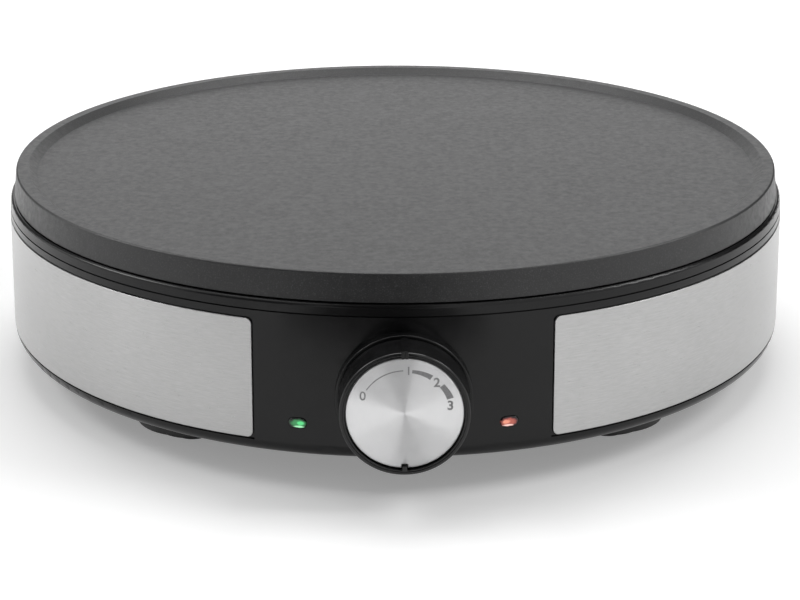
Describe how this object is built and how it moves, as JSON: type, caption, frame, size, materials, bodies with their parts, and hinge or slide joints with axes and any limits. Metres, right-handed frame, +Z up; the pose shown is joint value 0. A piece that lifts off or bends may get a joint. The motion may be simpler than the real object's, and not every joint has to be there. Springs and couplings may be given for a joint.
{
  "type": "electric crepe maker",
  "caption": "Round tabletop crepe maker: flat rimmed hotplate on a low housing with steel side panels, a front thermostat knob, lamps and a rear cord inlet.",
  "frame": {"origin": "on the table plane under the feet, on the cooking plate's upright axis", "axes": "+Z up, -Y towards the user (knob side), +Y towards the cord inlet, +X to the user's right"},
  "size_m": [0.3262, 0.3449, 0.0825],
  "materials": {
    "coated_aluminium": "die-cast, dark fine-speckled non-stick coating",
    "element_sheath": "drawn tube, heat-darkened",
    "plated_steel": "zinc plated",
    "reflector_sheet": "aluminised sheet, satin",
    "heat_resisting_washer": "pressed mica",
    "black_housing": "satin-gloss moulded",
    "brushed_panel": "brushed along the wrap",
    "black_base": "fine moulded grain",
    "foot_rubber": "matt",
    "black_screws": "black oxide",
    "black_knob": "gloss moulded",
    "spun_disc": "spun rings, with plain dark numbers and arc",
    "thermostat_moulding": "ceramic-filled moulding",
    "terminal_brass": "plain",
    "capillary_copper": "drawn copper",
    "green_lens": "clear green, polished",
    "red_lens": "clear red, polished",
    "lamp_glass": "clear",
    "gland_plastic": "moulded",
    "block_plastic": "moulded",
    "fuse_case": "drawn case",
    "brown_sleeve": "silicone sleeve",
    "black_sleeve": "silicone sleeve",
    "blue_sleeve": "silicone sleeve",
    "earth_sleeve": "silicone sleeve",
    "white_sleeve": "silicone sleeve"
  },
  "bodies": {
    "base": {"cooking_plate": "coated_aluminium", "heating_element": "element_sheath", "element_terminals": "plated_steel", "element_straps": "plated_steel", "strap_screws": "plated_steel", "heat_reflector": "reflector_sheet", "plate_spacers": "heat_resisting_washer", "plate_screws": "plated_steel", "housing": "black_housing", "steel_panel_left": "brushed_panel", "steel_panel_right": "brushed_panel", "base_cover": "black_base", "foot_front_left": "foot_rubber", "foot_front_right": "foot_rubber", "foot_rear_left": "foot_rubber", "foot_rear_right": "foot_rubber", "base_screws": "black_screws", "thermostat_faceplate": "plated_steel", "thermostat_screws": "plated_steel", "thermostat_body": "thermostat_moulding", "thermostat_terminals": "terminal_brass", "thermostat_bulb": "capillary_copper", "bulb_clips": "plated_steel", "green_lamp_lens": "green_lens", "red_lamp_lens": "red_lens", "green_lamp_bulb": "lamp_glass", "red_lamp_bulb": "lamp_glass", "cord_gland": "gland_plastic", "terminal_block": "block_plastic", "terminal_block_screws": "terminal_brass", "thermal_fuse": "fuse_case", "fuse_clip": "plated_steel", "earth_tab": "terminal_brass", "wire_live": "brown_sleeve", "wire_switched": "black_sleeve", "wire_neutral": "blue_sleeve", "wire_earth": "earth_sleeve", "lamp_wires": "white_sleeve"},
    "knob": {"knob_body": "black_knob", "knob_disc": "spun_disc", "knob_spring": "plated_steel", "thermostat_shaft": "plated_steel"}
  },
  "joints": [
    {"name": "knob_turn", "type": "hinge", "parent": "base", "child": "knob", "pos_m": [0, -0.17, 0.0377], "axis": [0, 1, 0], "range_deg": [-79, 65]}
  ]
}
